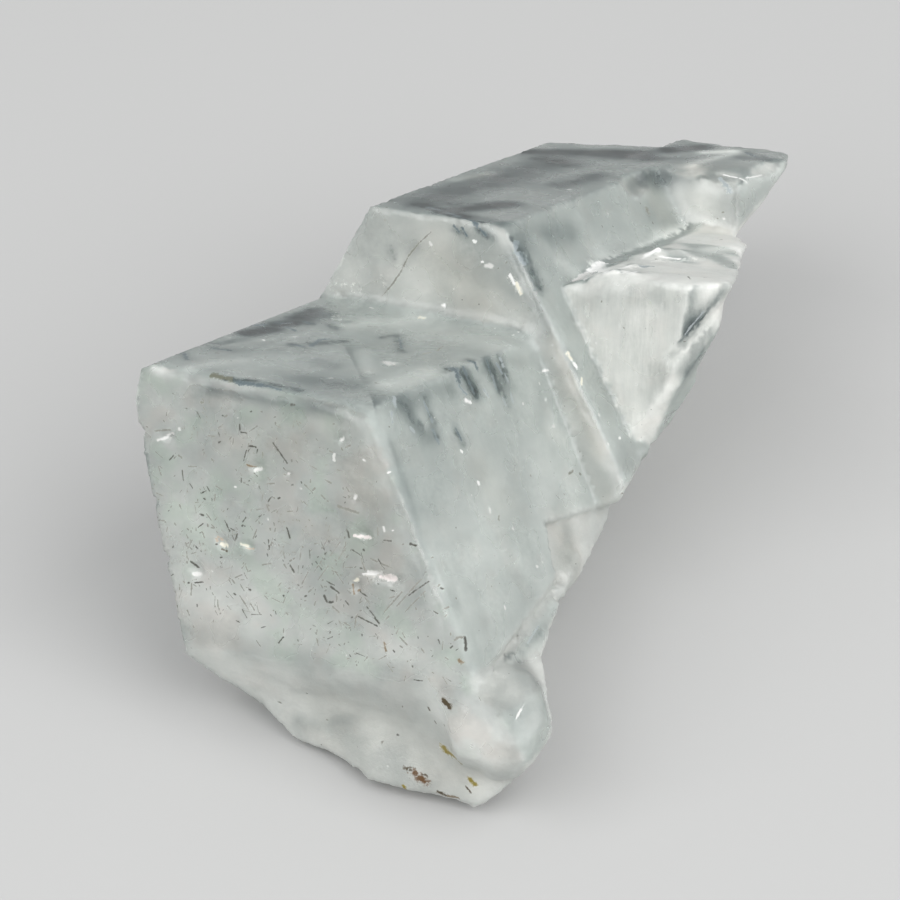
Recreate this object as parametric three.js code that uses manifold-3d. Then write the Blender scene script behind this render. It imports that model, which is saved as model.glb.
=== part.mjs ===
// Aquamarine: parallel beryl crystals grown together as one piece, broken off on every other side.
//
// Everything is laid out in the crystals' own frame, in millimetres:
//   x  along the top edge of the front terminal,
//   y  square to the flat top faces of the crystals,
//   z  along the c axis that all the crystals share, toward their flat terminals.
// The origin is the upper right corner of the front terminal.

import * as THREE from "three";
import { mergeVertices } from "three/addons/utils/BufferGeometryUtils.js";
import Module from "manifold-3d";

// How the cluster lies: the c axis in degrees about +Z and above the surface, then the turn about it.
const AXIS_HEADING = -121.7;
const AXIS_RISE = 19.2;
const AXIS_ROLL = 10.6;
const REST_DEPTH = 22.3; // from the origin straight down to the surface it rests on

// Places of the flat terminals and of the broken ends along the c axis.
const FRONT_TERMINAL = 0;
const SECOND_TERMINAL = -18.8;
const THIRD_TERMINAL = -21.7;
const REAR_TERMINAL = -38.4;
const FRONT_END = -42;
const THIRD_END = -40;
const SECOND_END = -46;
const REAR_END = -48.5;

const TOP_STEP = 6.45; // the second crystal stands this much above the front one
const LEDGE_HEIGHT = 3.6; // top of the third crystal
const LEDGE_FALL = 0.049; // how much that top falls for each millimetre back

// Cross-sections, square to the c axis.
const FRONT_SECTION = [
  [0, 0],
  [-14.3, 0.5],
  [-15.1, 0.1],
  [-15.5, -1.8],
  [-14.4, -7.4],
  [-13.1, -12.3],
  [-12.3, -15.9],
  [-15, -27],
  [9, -27],
  [10.4, -19],
  [8.6, -16.2],
  [7.1, -14.9],
];
const SECOND_SECTION = [
  [-2, TOP_STEP],
  [-11.2, TOP_STEP],
  [-15.1, -0.3],
  [-13.5, -16],
  [5, -16],
  [6.9, -8.95],
];
const THIRD_SECTION = [
  [11.6, 4.6],
  [2, 4.6],
  [1.6, 3.05],
  [-1, 1.8],
  [-1, -12],
  [4.6, -9.4],
];
const REAR_SECTION = [
  [3.95, TOP_STEP],
  [-4.6, TOP_STEP],
  [-4.6, -6],
  [1.5, -6],
  [4.15, 2.7],
];

// Growth grooves along the left side: x, y and how far back each one runs.
const SIDE_GROOVES = [
  [-15.15, -3.6, -44],
  [-14.4, -7.6, -31],
  [-13.5, -10.9, -44],
];
const SIDE_GROOVE_SIZE = { out: [-0.98, -0.2, 0], width: 0.8, depth: 0.35 };

// Etch pits in the front terminal: x, y, half length, half width, turn in degrees.
const PITS = [
  [-13.2, -3.6, 0.75, 0.3, 15],
  [-7.2, -4.5, 0.7, 0.45, 0],
  [-9.6, -9.3, 0.65, 0.5, -40],
  [-7.8, -9.2, 0.6, 0.35, -10],
  [-0.2, -7.2, 0.8, 0.4, 0],
  [0.7, -9.5, 1.1, 0.4, -12],
  [1.7, -9.6, 0.8, 0.4, 5],
  [-0.6, -10.3, 0.6, 0.5, 60],
  [-11.3, -11.2, 0.6, 0.5, -30],
  [-1.7, -2, 0.35, 0.3, 0],
  [-0.8, -5.2, 0.3, 0.3, 0],
  [-5.1, -4.5, 0.3, 0.2, 45],
];
const PIT_DEPTH = 0.35;

// Broken crumbs still held on the ledge: x, y, z and radius. They are longer than high.
const CRUMBS = [
  [3.1, 3.6, -22.6, 1.0],
  [4.5, 3.55, -23, 0.8],
  [3.2, 3.4, -25.4, 0.75],
  [2.4, 3.3, -29.4, 1.1],
  [3.6, 3.2, -30.2, 0.9],
];
const CRUMB_SHAPE = [1.1, 0.6, 0.8];

// Roughness of the broken faces.
const SWELLS_APART = 7.5;
const BUMPS_APART = 2.6;

// The break down the whole right side. Its ragged edge runs from the lowest point in front to the far tip.
const RIGHT_BREAK_EDGE = [
  [3.6, -26.4, -1.8],
  [5.2, -23.9, -2.9],
  [6.5, -22.2, -4],
  [8.8, -19, -5],
  [9.6, -17, -4],
  [8.85, -15.6, -5.2],
  [7.4, -15.2, -7.1],
  [6.5, -13.3, -10.9],
  [6.1, -12.6, -14.5],
  [5.2, -10.7, -19.4],
  [5.8, -8.8, -19.8],
  [6.2, -7.9, -20.5],
  [7.4, -5.1, -23.4],
  [8.6, -1.7, -23.8],
  [9.8, 0.8, -24.1],
  [10.2, 2.9, -24],
  [8.8, 3.2, -29.4],
  [6, 2.9, -35.7],
  [4.1, 2.75, -38],
  [3.9, 6.3, -46.4],
  [3.7, 8, -48.6],
];
const RIGHT_BREAK = {
  lean: [-0.577, -0.281, -0.776], // the way it runs back and in, under the crystals
  out: [0.857, -0.362, -0.366], // square to it, away from the crystals
  margin: 10, // it starts this much in front of its edge
  depth: 58,
  steps: 20,
  plainFrom: 4, // how far in it begins to lose the raggedness of its edge
  plainBy: 26,
  plainness: 0.8,
  bump: 1.1,
  bumpFrom: 0.5,
  bumpBy: 7,
  seed: 3,
};

// The shell-like break under the front terminal: a hollow band along its top, then a foot that bulges
// out again, and a smooth lobe at the right end.
const SHELL = {
  left: -22,
  right: 16,
  top: -15.4,
  tilt: 0.03, // how much its upper edge climbs for each millimetre to the right
  height: 13,
  hollow: 2,
  run: 4, // the fall over which it reaches that hollow
  shallow: 0.4, // share of the hollow at its left end, and where it deepens to the whole of it
  shallowTo: -14,
  deepFrom: -8,
  slowing: 0.7, // how much longer that fall gets at the right end, and where
  slowFrom: -1,
  slowBy: 5,
  lean: 0.1,
  brimSlope: 0.6,
  grain: 0.22,
  seed: 2,
};
const FOOT = { x: 0, width: 3.2, bulge: 1.2, from: 3, by: 7 };
const LOBE = { left: 4.4, bottom: -20.8, edge: 1.5, height: 1.5 };

// The thin flake lost from the lower back part of the front crystal's right face.
const RIGHT_FLAKE = {
  corner: [4.45, -9.2, -12.9],
  back: [0.05, -0.1, -1],
  downhill: [0.42, -0.86, 0.3],
  length: 12,
  width: 9,
  depth: 0.55,
  slope: 0.5,
  grain: 0.15,
  seed: 6,
};
const RIGHT_FACE_OUT = [0.9, 0.44, 0];

// The ledge on top of the third crystal, and the other rough broken faces: a point on each, the way it
// faces, the width of its cutter, the height of its bumps, and how many cells its cutter has each way.
const LEDGE = {
  point: [6, LEDGE_HEIGHT - LEDGE_FALL * 7, THIRD_TERMINAL - 7],
  normal: [0, 1, -LEDGE_FALL],
  spread: 34,
  bump: 0.3,
  cells: 20,
  seed: 4,
};
const SECOND_BACK = {
  point: [-7.4, TOP_STEP, -43.1],
  normal: [-0.29, -0.22, -0.93],
  spread: 44,
  bump: 0.6,
  cells: 18,
  seed: 5,
};
const REAR_BACK = {
  point: [-1, TOP_STEP, -47.2],
  normal: [0.03, -0.2, -0.95],
  spread: 30,
  bump: 0.4,
  cells: 12,
  seed: 9,
};
const LEFT_UNDERSIDE = {
  point: [-6.9, -20.7, -2.4],
  normal: [-0.56, -0.82, 0.069],
  spread: 80,
  bump: 0.5,
  cells: 32,
  seed: 7,
};
const UNDERSIDE = { hollow: 0.15, spread: 100, bump: 0.9, cells: 50, seed: 8 };

// The third crystal's two cleavage faces on its right, and the groove between them.
const UPPER_FLANK = { point: [8.8, 3.6, THIRD_TERMINAL], normal: [0.83, -0.16, 0.5], spread: 40 };
const LOWER_FLANK = { point: [7.8, -2.4, THIRD_TERMINAL], normal: [0.72, -0.5, 0.48], spread: 40 };
const FLANK_GROOVE = {
  from: [10.6, 2.8, -24.4],
  to: [7.8, -1, -21.6],
  out: UPPER_FLANK.normal,
  width: 0.8,
  depth: 0.7,
};

// Chips lost from the upper edges of the rear crystal, and the last one from those of the second crystal.
const CHIPS = [
  { at: [2.7, TOP_STEP + 0.4, -38.9], radii: [1.3, 0.9, 1.5], turn: 8 },
  { at: [0.3, TOP_STEP + 0.5, -39.2], radii: [1.6, 0.8, 1.4], turn: 20 },
  { at: [3.9, TOP_STEP + 0.1, -42.6], radii: [0.9, 0.8, 2.2], turn: 0 },
  { at: [-1.6, TOP_STEP - 0.25, -35.3], radii: [0.8, 1, 1.8], turn: 30 },
];
const CRACK = { from: [7.5, -15.4, 1], to: [5.9, -12.1, -13], out: RIGHT_FACE_OUT, width: 0.9, depth: 1 };

const { smoothstep, lerp, degToRad } = THREE.MathUtils;

const wasm = await Module();
wasm.setup();

const vector = (place) => new THREE.Vector3(...place);
const unit = (way) => vector(way).normalize();

/** Turns a closed geometry into a solid that can be joined and cut. */
function solid(geometry) {
  const bare = geometry.clone();
  bare.deleteAttribute("normal");
  bare.deleteAttribute("uv");
  const merged = mergeVertices(bare, 1e-5);
  const vertProperties = new Float32Array(merged.attributes.position.array);
  const triVerts = new Uint32Array(merged.index.array);
  return new wasm.Manifold(new wasm.Mesh({ numProp: 3, vertProperties, triVerts }));
}

/** Turns every face of a geometry over. */
function flip(geometry) {
  const corners = geometry.index.array;
  for (let i = 0; i < corners.length; i += 3) {
    [corners[i], corners[i + 1]] = [corners[i + 1], corners[i]];
  }
}

/** A crystal: its section drawn out along the c axis between two places. */
function crystal(section, front, back) {
  const outline = new THREE.Shape(section.map(([x, y]) => new THREE.Vector2(x, y)));
  const prism = new THREE.ExtrudeGeometry(outline, { depth: front - back, bevelEnabled: false });
  return solid(prism.translate(0, 0, back));
}

/** A closed block: its near face follows surface(s, t), both 0 to 1, and its far face lies `reach` beyond. */
function surfaceBlock(surface, reach, across, along) {
  const block = new THREE.BoxGeometry(1, 1, 1, across, along, 1);
  const places = block.attributes.position;
  for (let i = 0; i < places.count; i += 1) {
    const point = surface(places.getX(i) + 0.5, places.getY(i) + 0.5);
    point.addScaledVector(reach, places.getZ(i) + 0.5);
    places.setXYZ(i, point.x, point.y, point.z);
  }
  const corner = surface(0, 0);
  const sides = new THREE.Matrix4().makeBasis(surface(1, 0).sub(corner), surface(0, 1).sub(corner), reach);
  if (sides.determinant() < 0) {
    flip(block);
  }
  return solid(block);
}

/** A repeatable random number, -1 to 1, for a place in whole numbers. */
function chance(i, j, seed) {
  const mixed = Math.imul(i, 374761393) + Math.imul(j, 668265263) + Math.imul(seed, 974634777);
  const stirred = Math.imul(mixed ^ (mixed >>> 13), 1274126177);
  return ((stirred ^ (stirred >>> 16)) >>> 0) / 2 ** 31 - 1;
}

/** Height, -1 to 1, of a crumpled sheet whose corners stand `apart` from each other. */
function crumple(x, y, apart, seed) {
  const i = Math.floor(x / apart);
  const j = Math.floor(y / apart);
  const near = lerp(chance(i, j, seed), chance(i + 1, j, seed), x / apart - i);
  const far = lerp(chance(i, j + 1, seed), chance(i + 1, j + 1, seed), x / apart - i);
  return lerp(near, far, y / apart - j);
}

/** Roughness of a broken face, -1 to 1: broad swells with smaller bumps on them. */
function roughness(x, y, seed) {
  const bumpShare = 0.4;
  return lerp(crumple(x, y, SWELLS_APART, seed), crumple(x, y, BUMPS_APART, seed), bumpShare);
}

/** A block that cuts away all that lies outside a broken face through `point`. */
function breakAt({ point, normal, spread, bump = 0, cells = 1, seed = 1 }) {
  const centre = vector(point);
  const out = unit(normal);
  const side = new THREE.Vector3(0.1, 0.2, 1).cross(out).normalize();
  const rise = out.clone().cross(side);
  const surface = (s, t) => {
    const x = (s - 0.5) * spread;
    const y = (t - 0.5) * spread;
    const height = bump * roughness(x, y, seed);
    return centre.clone().addScaledVector(side, x).addScaledVector(rise, y).addScaledVector(out, height);
  };
  return surfaceBlock(surface, out.clone().multiplyScalar(spread), cells, cells);
}

/** An angular lump or scoop: a faceted ball stretched, turned about z and moved. */
function lump({ at, radii, turn, detail = 1 }) {
  const ball = new THREE.IcosahedronGeometry(1, detail);
  ball.scale(...radii);
  ball.rotateZ(degToRad(turn));
  ball.translate(...at);
  return solid(ball);
}

/** A straight V-shaped groove between two places, opening along `out`. */
function groove({ from, to, out, width, depth }) {
  const start = vector(from);
  const run = vector(to).sub(start);
  const open = unit(out);
  const side = open.clone().cross(run).normalize();
  // The V goes on past the face that it opens in, until it is twice as wide as it is there.
  const section = new THREE.Shape([
    new THREE.Vector2(0, -depth),
    new THREE.Vector2(width, depth),
    new THREE.Vector2(-width, depth),
  ]);
  const bar = new THREE.ExtrudeGeometry(section, { depth: run.length(), bevelEnabled: false });
  const ahead = side.clone().cross(open);
  bar.applyMatrix4(new THREE.Matrix4().makeBasis(side, open, ahead).setPosition(start));
  return solid(bar);
}

/** The break down the whole right side: ragged at its edge, plainer further in. */
function rightBreak() {
  const edge = RIGHT_BREAK_EDGE.map(vector);
  const last = edge.length - 1;
  const height = edge[0].distanceTo(edge[last]);
  const lean = unit(RIGHT_BREAK.lean);
  const out = unit(RIGHT_BREAK.out);
  const surface = (s, t) => {
    const place = Math.round(s * last * 2) / 2;
    const low = edge[Math.floor(place)];
    const high = edge[Math.ceil(place)];
    const ragged = low.clone().lerp(high, place - Math.floor(place));
    const plain = edge[0].clone().lerp(edge[last], s);
    const depth = t * RIGHT_BREAK.depth - RIGHT_BREAK.margin;
    const settle = RIGHT_BREAK.plainness * smoothstep(depth, RIGHT_BREAK.plainFrom, RIGHT_BREAK.plainBy);
    const rough = RIGHT_BREAK.bump * (roughness(s * height, depth, RIGHT_BREAK.seed) - 0.5);
    const raised = rough * smoothstep(depth, RIGHT_BREAK.bumpFrom, RIGHT_BREAK.bumpBy);
    return ragged.lerp(plain, settle).addScaledVector(lean, depth).addScaledVector(out, raised);
  };
  return surfaceBlock(surface, out.clone().multiplyScalar(height), last * 2, RIGHT_BREAK.steps);
}

/** The shell-like break under the front terminal. */
function shellBreak() {
  const surface = (s, t) => {
    const x = SHELL.left + (SHELL.right - SHELL.left) * s;
    const y = SHELL.top + 1 - (SHELL.height + 1) * t;
    const brim = SHELL.top + SHELL.tilt * x;
    const fall = Math.max(brim - y, 0);
    const above = Math.max(y - brim, 0);
    const share = lerp(SHELL.shallow, 1, smoothstep(x, SHELL.shallowTo, SHELL.deepFrom));
    const run = SHELL.run * (1 + SHELL.slowing * smoothstep(x, SHELL.slowFrom, SHELL.slowBy));
    const bowl = share * SHELL.hollow * smoothstep(fall, 0, run);
    const foot = Math.exp(-(((x - FOOT.x) / FOOT.width) ** 2)) * smoothstep(fall, FOOT.from, FOOT.by);
    const lobeAcross = smoothstep(x, LOBE.left, LOBE.left + LOBE.edge);
    const lobeDown = smoothstep(y, LOBE.bottom, LOBE.bottom + LOBE.edge);
    const hollow = bowl + SHELL.lean * fall - FOOT.bulge * foot - LOBE.height * lobeAcross * lobeDown;
    const grain = SHELL.grain * roughness(x, y, SHELL.seed) * Math.min(fall, 1);
    const rise = SHELL.brimSlope * above + grain - hollow;
    return new THREE.Vector3(x, y, FRONT_TERMINAL + rise);
  };
  return surfaceBlock(surface, new THREE.Vector3(0, 0, SHELL.height), 34, 18);
}

/** A small hexagonal etch pit, its sides sloping to a point. */
function pit([x, y, halfLength, halfWidth, turn]) {
  // Half of the cone stands above the terminal, so it is twice as long and wide as the pit.
  const cone = new THREE.ConeGeometry(1, 2 * PIT_DEPTH, 6).rotateX(-Math.PI / 2);
  cone.scale(2 * halfLength, 2 * halfWidth, 1);
  cone.rotateZ(degToRad(turn));
  cone.translate(x, y, FRONT_TERMINAL);
  return solid(cone);
}

/** A thin flake lost from the lower back part of the front crystal's right face. */
function rightFlake() {
  const corner = vector(RIGHT_FLAKE.corner);
  const back = vector(RIGHT_FLAKE.back);
  const downhill = vector(RIGHT_FLAKE.downhill);
  const out = unit(RIGHT_FACE_OUT);
  const surface = (s, t) => {
    const x = RIGHT_FLAKE.length * s;
    const y = RIGHT_FLAKE.width * t;
    const grain = RIGHT_FLAKE.grain * roughness(x, y, RIGHT_FLAKE.seed);
    const sunk = RIGHT_FLAKE.depth + RIGHT_FLAKE.slope * t - grain;
    return corner.clone().addScaledVector(back, x).addScaledVector(downhill, y).addScaledVector(out, -sunk);
  };
  return surfaceBlock(surface, out.clone().multiplyScalar(RIGHT_FLAKE.width), 6, 5);
}

function frontCrystal() {
  let front = crystal(FRONT_SECTION, FRONT_TERMINAL, FRONT_END);
  for (const [x, y, back] of SIDE_GROOVES) {
    const run = { from: [x, y, FRONT_TERMINAL + 1], to: [x, y, back] };
    front = front.subtract(groove({ ...run, ...SIDE_GROOVE_SIZE }));
  }
  for (const place of PITS) {
    front = front.subtract(pit(place));
  }
  return front;
}

function secondCrystal() {
  return crystal(SECOND_SECTION, SECOND_TERMINAL, SECOND_END).subtract(breakAt(SECOND_BACK));
}

function thirdCrystal() {
  let third = crystal(THIRD_SECTION, THIRD_TERMINAL, THIRD_END).subtract(breakAt(LEDGE));
  for (const [x, y, z, radius] of CRUMBS) {
    const radii = CRUMB_SHAPE.map((share) => share * radius);
    third = third.add(lump({ at: [x, y, z], radii, turn: 40 * radius, detail: 0 }));
  }
  return third
    .subtract(breakAt(UPPER_FLANK))
    .subtract(breakAt(LOWER_FLANK))
    .subtract(groove(FLANK_GROOVE));
}

function rearCrystal() {
  return crystal(REAR_SECTION, REAR_TERMINAL, REAR_END).subtract(breakAt(REAR_BACK));
}

/** The crystals' frame, turned to the way the cluster lies. */
function lyingFrame() {
  const heading = degToRad(AXIS_HEADING);
  const rise = degToRad(AXIS_RISE);
  const roll = degToRad(AXIS_ROLL);
  const axis = new THREE.Vector3(
    Math.cos(rise) * Math.cos(heading),
    Math.cos(rise) * Math.sin(heading),
    Math.sin(rise),
  );
  const level = new THREE.Vector3(-Math.sin(heading), Math.cos(heading), 0);
  const upright = axis.clone().cross(level);
  const across = level.clone().multiplyScalar(Math.cos(roll)).addScaledVector(upright, Math.sin(roll));
  const top = level.clone().multiplyScalar(-Math.sin(roll)).addScaledVector(upright, Math.cos(roll));
  return new THREE.Matrix4().makeBasis(across, top, axis);
}

/** The broken underside, and the plane that its lowest points are worn flat to. */
function undersideBreaks(down) {
  const { hollow, ...rough } = UNDERSIDE;
  const normal = down.toArray();
  const broken = down.clone().multiplyScalar(REST_DEPTH - hollow).toArray();
  const worn = down.clone().multiplyScalar(REST_DEPTH).toArray();
  return [
    breakAt({ point: broken, normal, ...rough }),
    breakAt({ point: worn, normal, spread: UNDERSIDE.spread }),
  ];
}

const lying = lyingFrame();
const down = new THREE.Vector3(0, 0, -1).applyMatrix4(lying.clone().invert());

const lost = [
  rightBreak(),
  shellBreak(),
  breakAt(LEFT_UNDERSIDE),
  ...CHIPS.map(lump),
  rightFlake(),
  groove(CRACK),
  ...undersideBreaks(down),
];
let body = frontCrystal().add(secondCrystal()).add(thirdCrystal()).add(rearCrystal());
for (const piece of lost) {
  body = body.subtract(piece);
}

const result = body.getMesh();
const geometry = new THREE.BufferGeometry();
geometry.setAttribute("position", new THREE.BufferAttribute(new Float32Array(result.vertProperties), 3));
geometry.setIndex(new THREE.BufferAttribute(new Uint32Array(result.triVerts), 1));
geometry.computeVertexNormals();

const aquamarine = new THREE.MeshStandardMaterial({ color: 0xb4bbb6, roughness: 0.28, metalness: 0 });
const cluster = new THREE.Mesh(geometry, aquamarine);
cluster.name = "aquamarine_crystal";
cluster.setRotationFromMatrix(lying);

const part = new THREE.Group();
part.add(cluster);
const extent = new THREE.Box3().setFromObject(part, true);
const centre = extent.getCenter(new THREE.Vector3());
cluster.position.set(-centre.x, -centre.y, -extent.min.z);

export default part;
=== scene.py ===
"""Looks of the aquamarine crystal cluster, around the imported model.

Lengths are metres unless a name or a comment says mm. The crystals' own frame is in mm: z runs out of their
terminals along the c axis, x to the right and y up, from the front terminal's upper right corner.
"""

import math

import bmesh
import bpy
import numpy as np
from mathutils import Matrix, Vector, noise
from mathutils.bvhtree import BVHTree


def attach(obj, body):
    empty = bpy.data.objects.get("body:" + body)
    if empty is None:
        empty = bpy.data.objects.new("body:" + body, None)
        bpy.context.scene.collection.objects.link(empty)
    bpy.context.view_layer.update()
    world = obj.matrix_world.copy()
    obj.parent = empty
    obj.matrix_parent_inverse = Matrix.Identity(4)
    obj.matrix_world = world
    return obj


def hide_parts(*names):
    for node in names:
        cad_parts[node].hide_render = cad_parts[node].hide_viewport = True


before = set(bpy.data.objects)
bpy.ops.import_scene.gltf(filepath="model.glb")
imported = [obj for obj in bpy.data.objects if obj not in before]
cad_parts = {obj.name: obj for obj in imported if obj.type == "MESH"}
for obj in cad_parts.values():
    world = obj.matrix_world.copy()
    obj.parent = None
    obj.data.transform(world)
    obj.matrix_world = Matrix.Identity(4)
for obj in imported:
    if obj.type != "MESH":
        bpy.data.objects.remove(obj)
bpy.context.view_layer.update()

MM = 0.001
TINY = 1e-12  # instead of dividing by zero
NODE = "aquamarine_crystal"

# How the cluster lies, as in the model: its c axis about +Z and above the floor, then the turn about it.
AXIS_HEADING, AXIS_RISE, AXIS_ROLL = (math.radians(a) for a in (-121.7, 19.2, 10.6))

# Camera: where it stands from the front terminal's upper right corner, and its tilt and lens.
CAMERA_FROM_CORNER_MM = (4.51, -174.75, 133.67)
CAMERA_ELEVATION = math.radians(38)
LENS_MM, SENSOR_MM = 160, 36
CLIP_NEAR, CLIP_FAR = 0.01, 10
PICTURE = 900  # pixels across, for the marks that are placed by pixel

FLOOR_SIZE, FLOOR_COLOUR, FLOOR_ROUGHNESS = 4, (0.46, 0.46, 0.455, 1), 0.8
WORLD_COLOUR = (0.60, 0.607, 0.615, 1)
LIGHTS = {"key": ((0.34, -0.30, 0.48), 3.5), "fill": ((-0.36, -0.36, 0.46), 3.0)}  # place, watts
LIGHT_SIZE = 0.6
LIGHTS_AIM = Vector((0, 0, 0.01))

WELD_MM = 0.0001
REMESH_DEPTH, REMESH_SCALE = 8, 0.785  # squares of about 0.27 mm

# Soft lights and darks of the milky body, as the camera sees them: its own clouds, and painted light and
# shade, lighter in creases and on sides turned from the lamps, darker over highlights and a glint, and dark
# on clear places as shade of dark surroundings seen through them. x, y of both ends and the radius in pixels
# of the photograph, then how much lighter or darker it is there.
CLOUDS_AND_PAINTED_LIGHT = [
    # front terminal; the two thin dark strokes along its edge with the right face are painted shade over
    # that edge's highlight
    (200, 610, 330, 650, 26, 0.12), (160, 385, 170, 550, 30, 0.05), (180, 592, 270, 598, 26, 0.15),
    (384, 446, 460, 676, 7, -0.2), (392, 444, 470, 676, 6, -0.2), (420, 560, 420, 600, 10, -0.12),
    (390, 628, 392, 634, 12, -0.08), (452, 594, 456, 606, 8, -0.15), (390, 750, 394, 752, 14, -0.12),
    (200, 390, 366, 416, 8, -0.08), (318, 422, 330, 424, 12, 0.1), (200, 520, 190, 560, 30, 0.10),
    (400, 640, 440, 680, 26, 0.22), (240, 420, 236, 426, 14, -0.08), (390, 650, 350, 665, 20, 0.12),
    # top of the front crystal: milky to the right of the veil, clear to its left, and painted dark there as
    # shade of dark surroundings seen through it
    (300, 380, 350, 385, 22, -0.3), (318, 362, 334, 366, 14, -0.2), (362, 352, 368, 372, 10, 0.22),
    (212, 390, 330, 409, 6, -0.25), (440, 330, 500, 345, 34, 0.24), (390, 385, 470, 360, 20, 0.30),
    (350, 325, 420, 320, 18, 0.26), (250, 333, 320, 315, 16, -0.6), (190, 368, 240, 360, 10, 0.2),
    (220, 350, 300, 350, 20, -0.12), (340, 300, 335, 296, 8, 0.2), (160, 366, 180, 362, 10, 0.3),
    # right face of the front crystal; the dark strokes near its top edge are clear places, painted dark as
    # shade of dark surroundings seen through them
    (410, 398, 450, 388, 10, -0.2), (600, 452, 604, 460, 12, 0.15), (505, 358, 520, 362, 8, -0.15),
    (450, 372, 462, 386, 10, -0.45), (468, 374, 476, 392, 9, -0.35), (488, 366, 503, 380, 13, -0.35),
    (402, 405, 425, 430, 17, -0.32), (470, 600, 500, 500, 50, 0.16), (474, 590, 482, 620, 12, -0.12),
    (518, 560, 542, 600, 14, 0.15), (420, 418, 424, 424, 9, 0.34), (566, 412, 572, 430, 9, 0.2),
    (540, 400, 545, 540, 26, 0.18), (555, 430, 600, 460, 16, 0.22), (540, 390, 541, 424, 10, -0.15),
    (450, 388, 452, 394, 8, -0.12), (450, 365, 500, 375, 20, -0.22), (570, 480, 575, 560, 20, 0.2),
    # second terminal; the long thin dark stroke along its foot is painted shade over a line of light there
    (420, 285, 400, 265, 18, 0.22), (360, 250, 350, 280, 16, 0.14), (480, 240, 480, 300, 20, -0.15),
    (510, 262, 512, 300, 12, -0.08), (430, 235, 440, 240, 14, 0.12), (345, 296, 525, 332, 6, -0.12),
    (365, 232, 360, 250, 18, -0.14), (470, 290, 515, 320, 20, 0.16), (450, 212, 500, 222, 8, -0.3),
    # top of the second crystal: clear, and painted dark as shade of dark surroundings seen through it
    (420, 203, 560, 160, 26, -0.5), (530, 152, 640, 153, 13, -1.1), (664, 158, 690, 158, 8, -0.2),
    (440, 190, 456, 184, 9, -0.2), (450, 211, 510, 204, 12, -0.95), (560, 185, 600, 175, 14, -0.5),
    (600, 155, 650, 158, 14, -0.8), (455, 180, 490, 174, 8, 0.25),
    # right face of the second crystal
    (520, 260, 535, 250, 16, -0.28), (530, 290, 560, 340, 14, -0.10), (560, 330, 610, 440, 14, 0.05),
    (568, 352, 574, 366, 8, -0.18), (510, 326, 514, 334, 9, -0.12), (600, 215, 650, 205, 22, 0.02),
    (630, 186, 640, 184, 8, -0.3), (645, 178, 662, 180, 12, -0.5), (640, 235, 600, 250, 14, 0.14),
    (515, 240, 570, 232, 15, -0.3), (655, 236, 690, 230, 9, 0.25), (536, 238, 544, 244, 9, 0.15),
    (575, 275, 560, 262, 10, 0.2), (538, 300, 545, 335, 12, -0.15),
    # third crystal, its ledge, and the rear crystal; the thin light strokes along the crease between the
    # second crystal's right face and the ledge are painted light over the shade in that crease
    (610, 380, 640, 420, 30, 0.12), (712, 302, 728, 284, 9, -0.45), (692, 288, 690, 318, 13, -0.75),
    (703, 314, 684, 338, 9, -0.45), (706, 330, 684, 368, 14, -0.65), (590, 298, 660, 292, 16, -0.22),
    (660, 372, 655, 410, 14, -0.25), (660, 298, 664, 304, 12, -0.15), (686, 330, 692, 326, 9, -0.3),
    (600, 262, 690, 256, 16, 0.2), (640, 250, 690, 229, 6, 0.5), (640, 250, 582, 279, 6, 0.5),
    (680, 238, 700, 228, 5, 0.3), (710, 250, 740, 250, 14, 0.6), (698, 192, 708, 228, 24, 0.5),
    (750, 180, 770, 165, 16, 0.2), (692, 164, 738, 152, 8, 0.5), (668, 150, 700, 147, 12, -1.1),
    (706, 152, 730, 151, 9, 0.8), (680, 178, 690, 180, 10, -0.3), (742, 158, 772, 160, 9, -0.35),
    (650, 215, 672, 225, 12, -0.1), (620, 465, 640, 450, 14, -0.1),
    # below the front terminal; on the lobe, the dark stroke at its upper left is painted shade over a glint
    # and the light one down its right flank is painted light on a side turned from the lamps; the dark ones
    # in the notch above the lobe are painted shade
    (481, 690, 485, 694, 10, -0.15), (503, 660, 516, 656, 7, -0.45), (522, 651, 540, 632, 5, -0.2),
    (447, 688, 456, 696, 10, -0.18), (511, 686, 513, 696, 12, 0.4), (505, 712, 520, 724, 14, -0.15),
    (450, 725, 480, 745, 18, 0.2), (470, 740, 490, 748, 22, 0.2), (480, 790, 500, 780, 14, 0.2),
    (540, 670, 546, 735, 14, 0.45), (530, 655, 541, 650, 12, 0.3), (300, 670, 400, 700, 26, -0.12),
    (230, 670, 300, 700, 20, 0.1), (542, 560, 545, 600, 9, 0.15), (567, 530, 567, 560, 14, -0.35),
    (300, 722, 360, 735, 14, -0.2), (355, 754, 395, 766, 14, -0.15), (400, 776, 430, 786, 12, -0.15),
    (500, 772, 510, 765, 10, -0.15),
]
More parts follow.
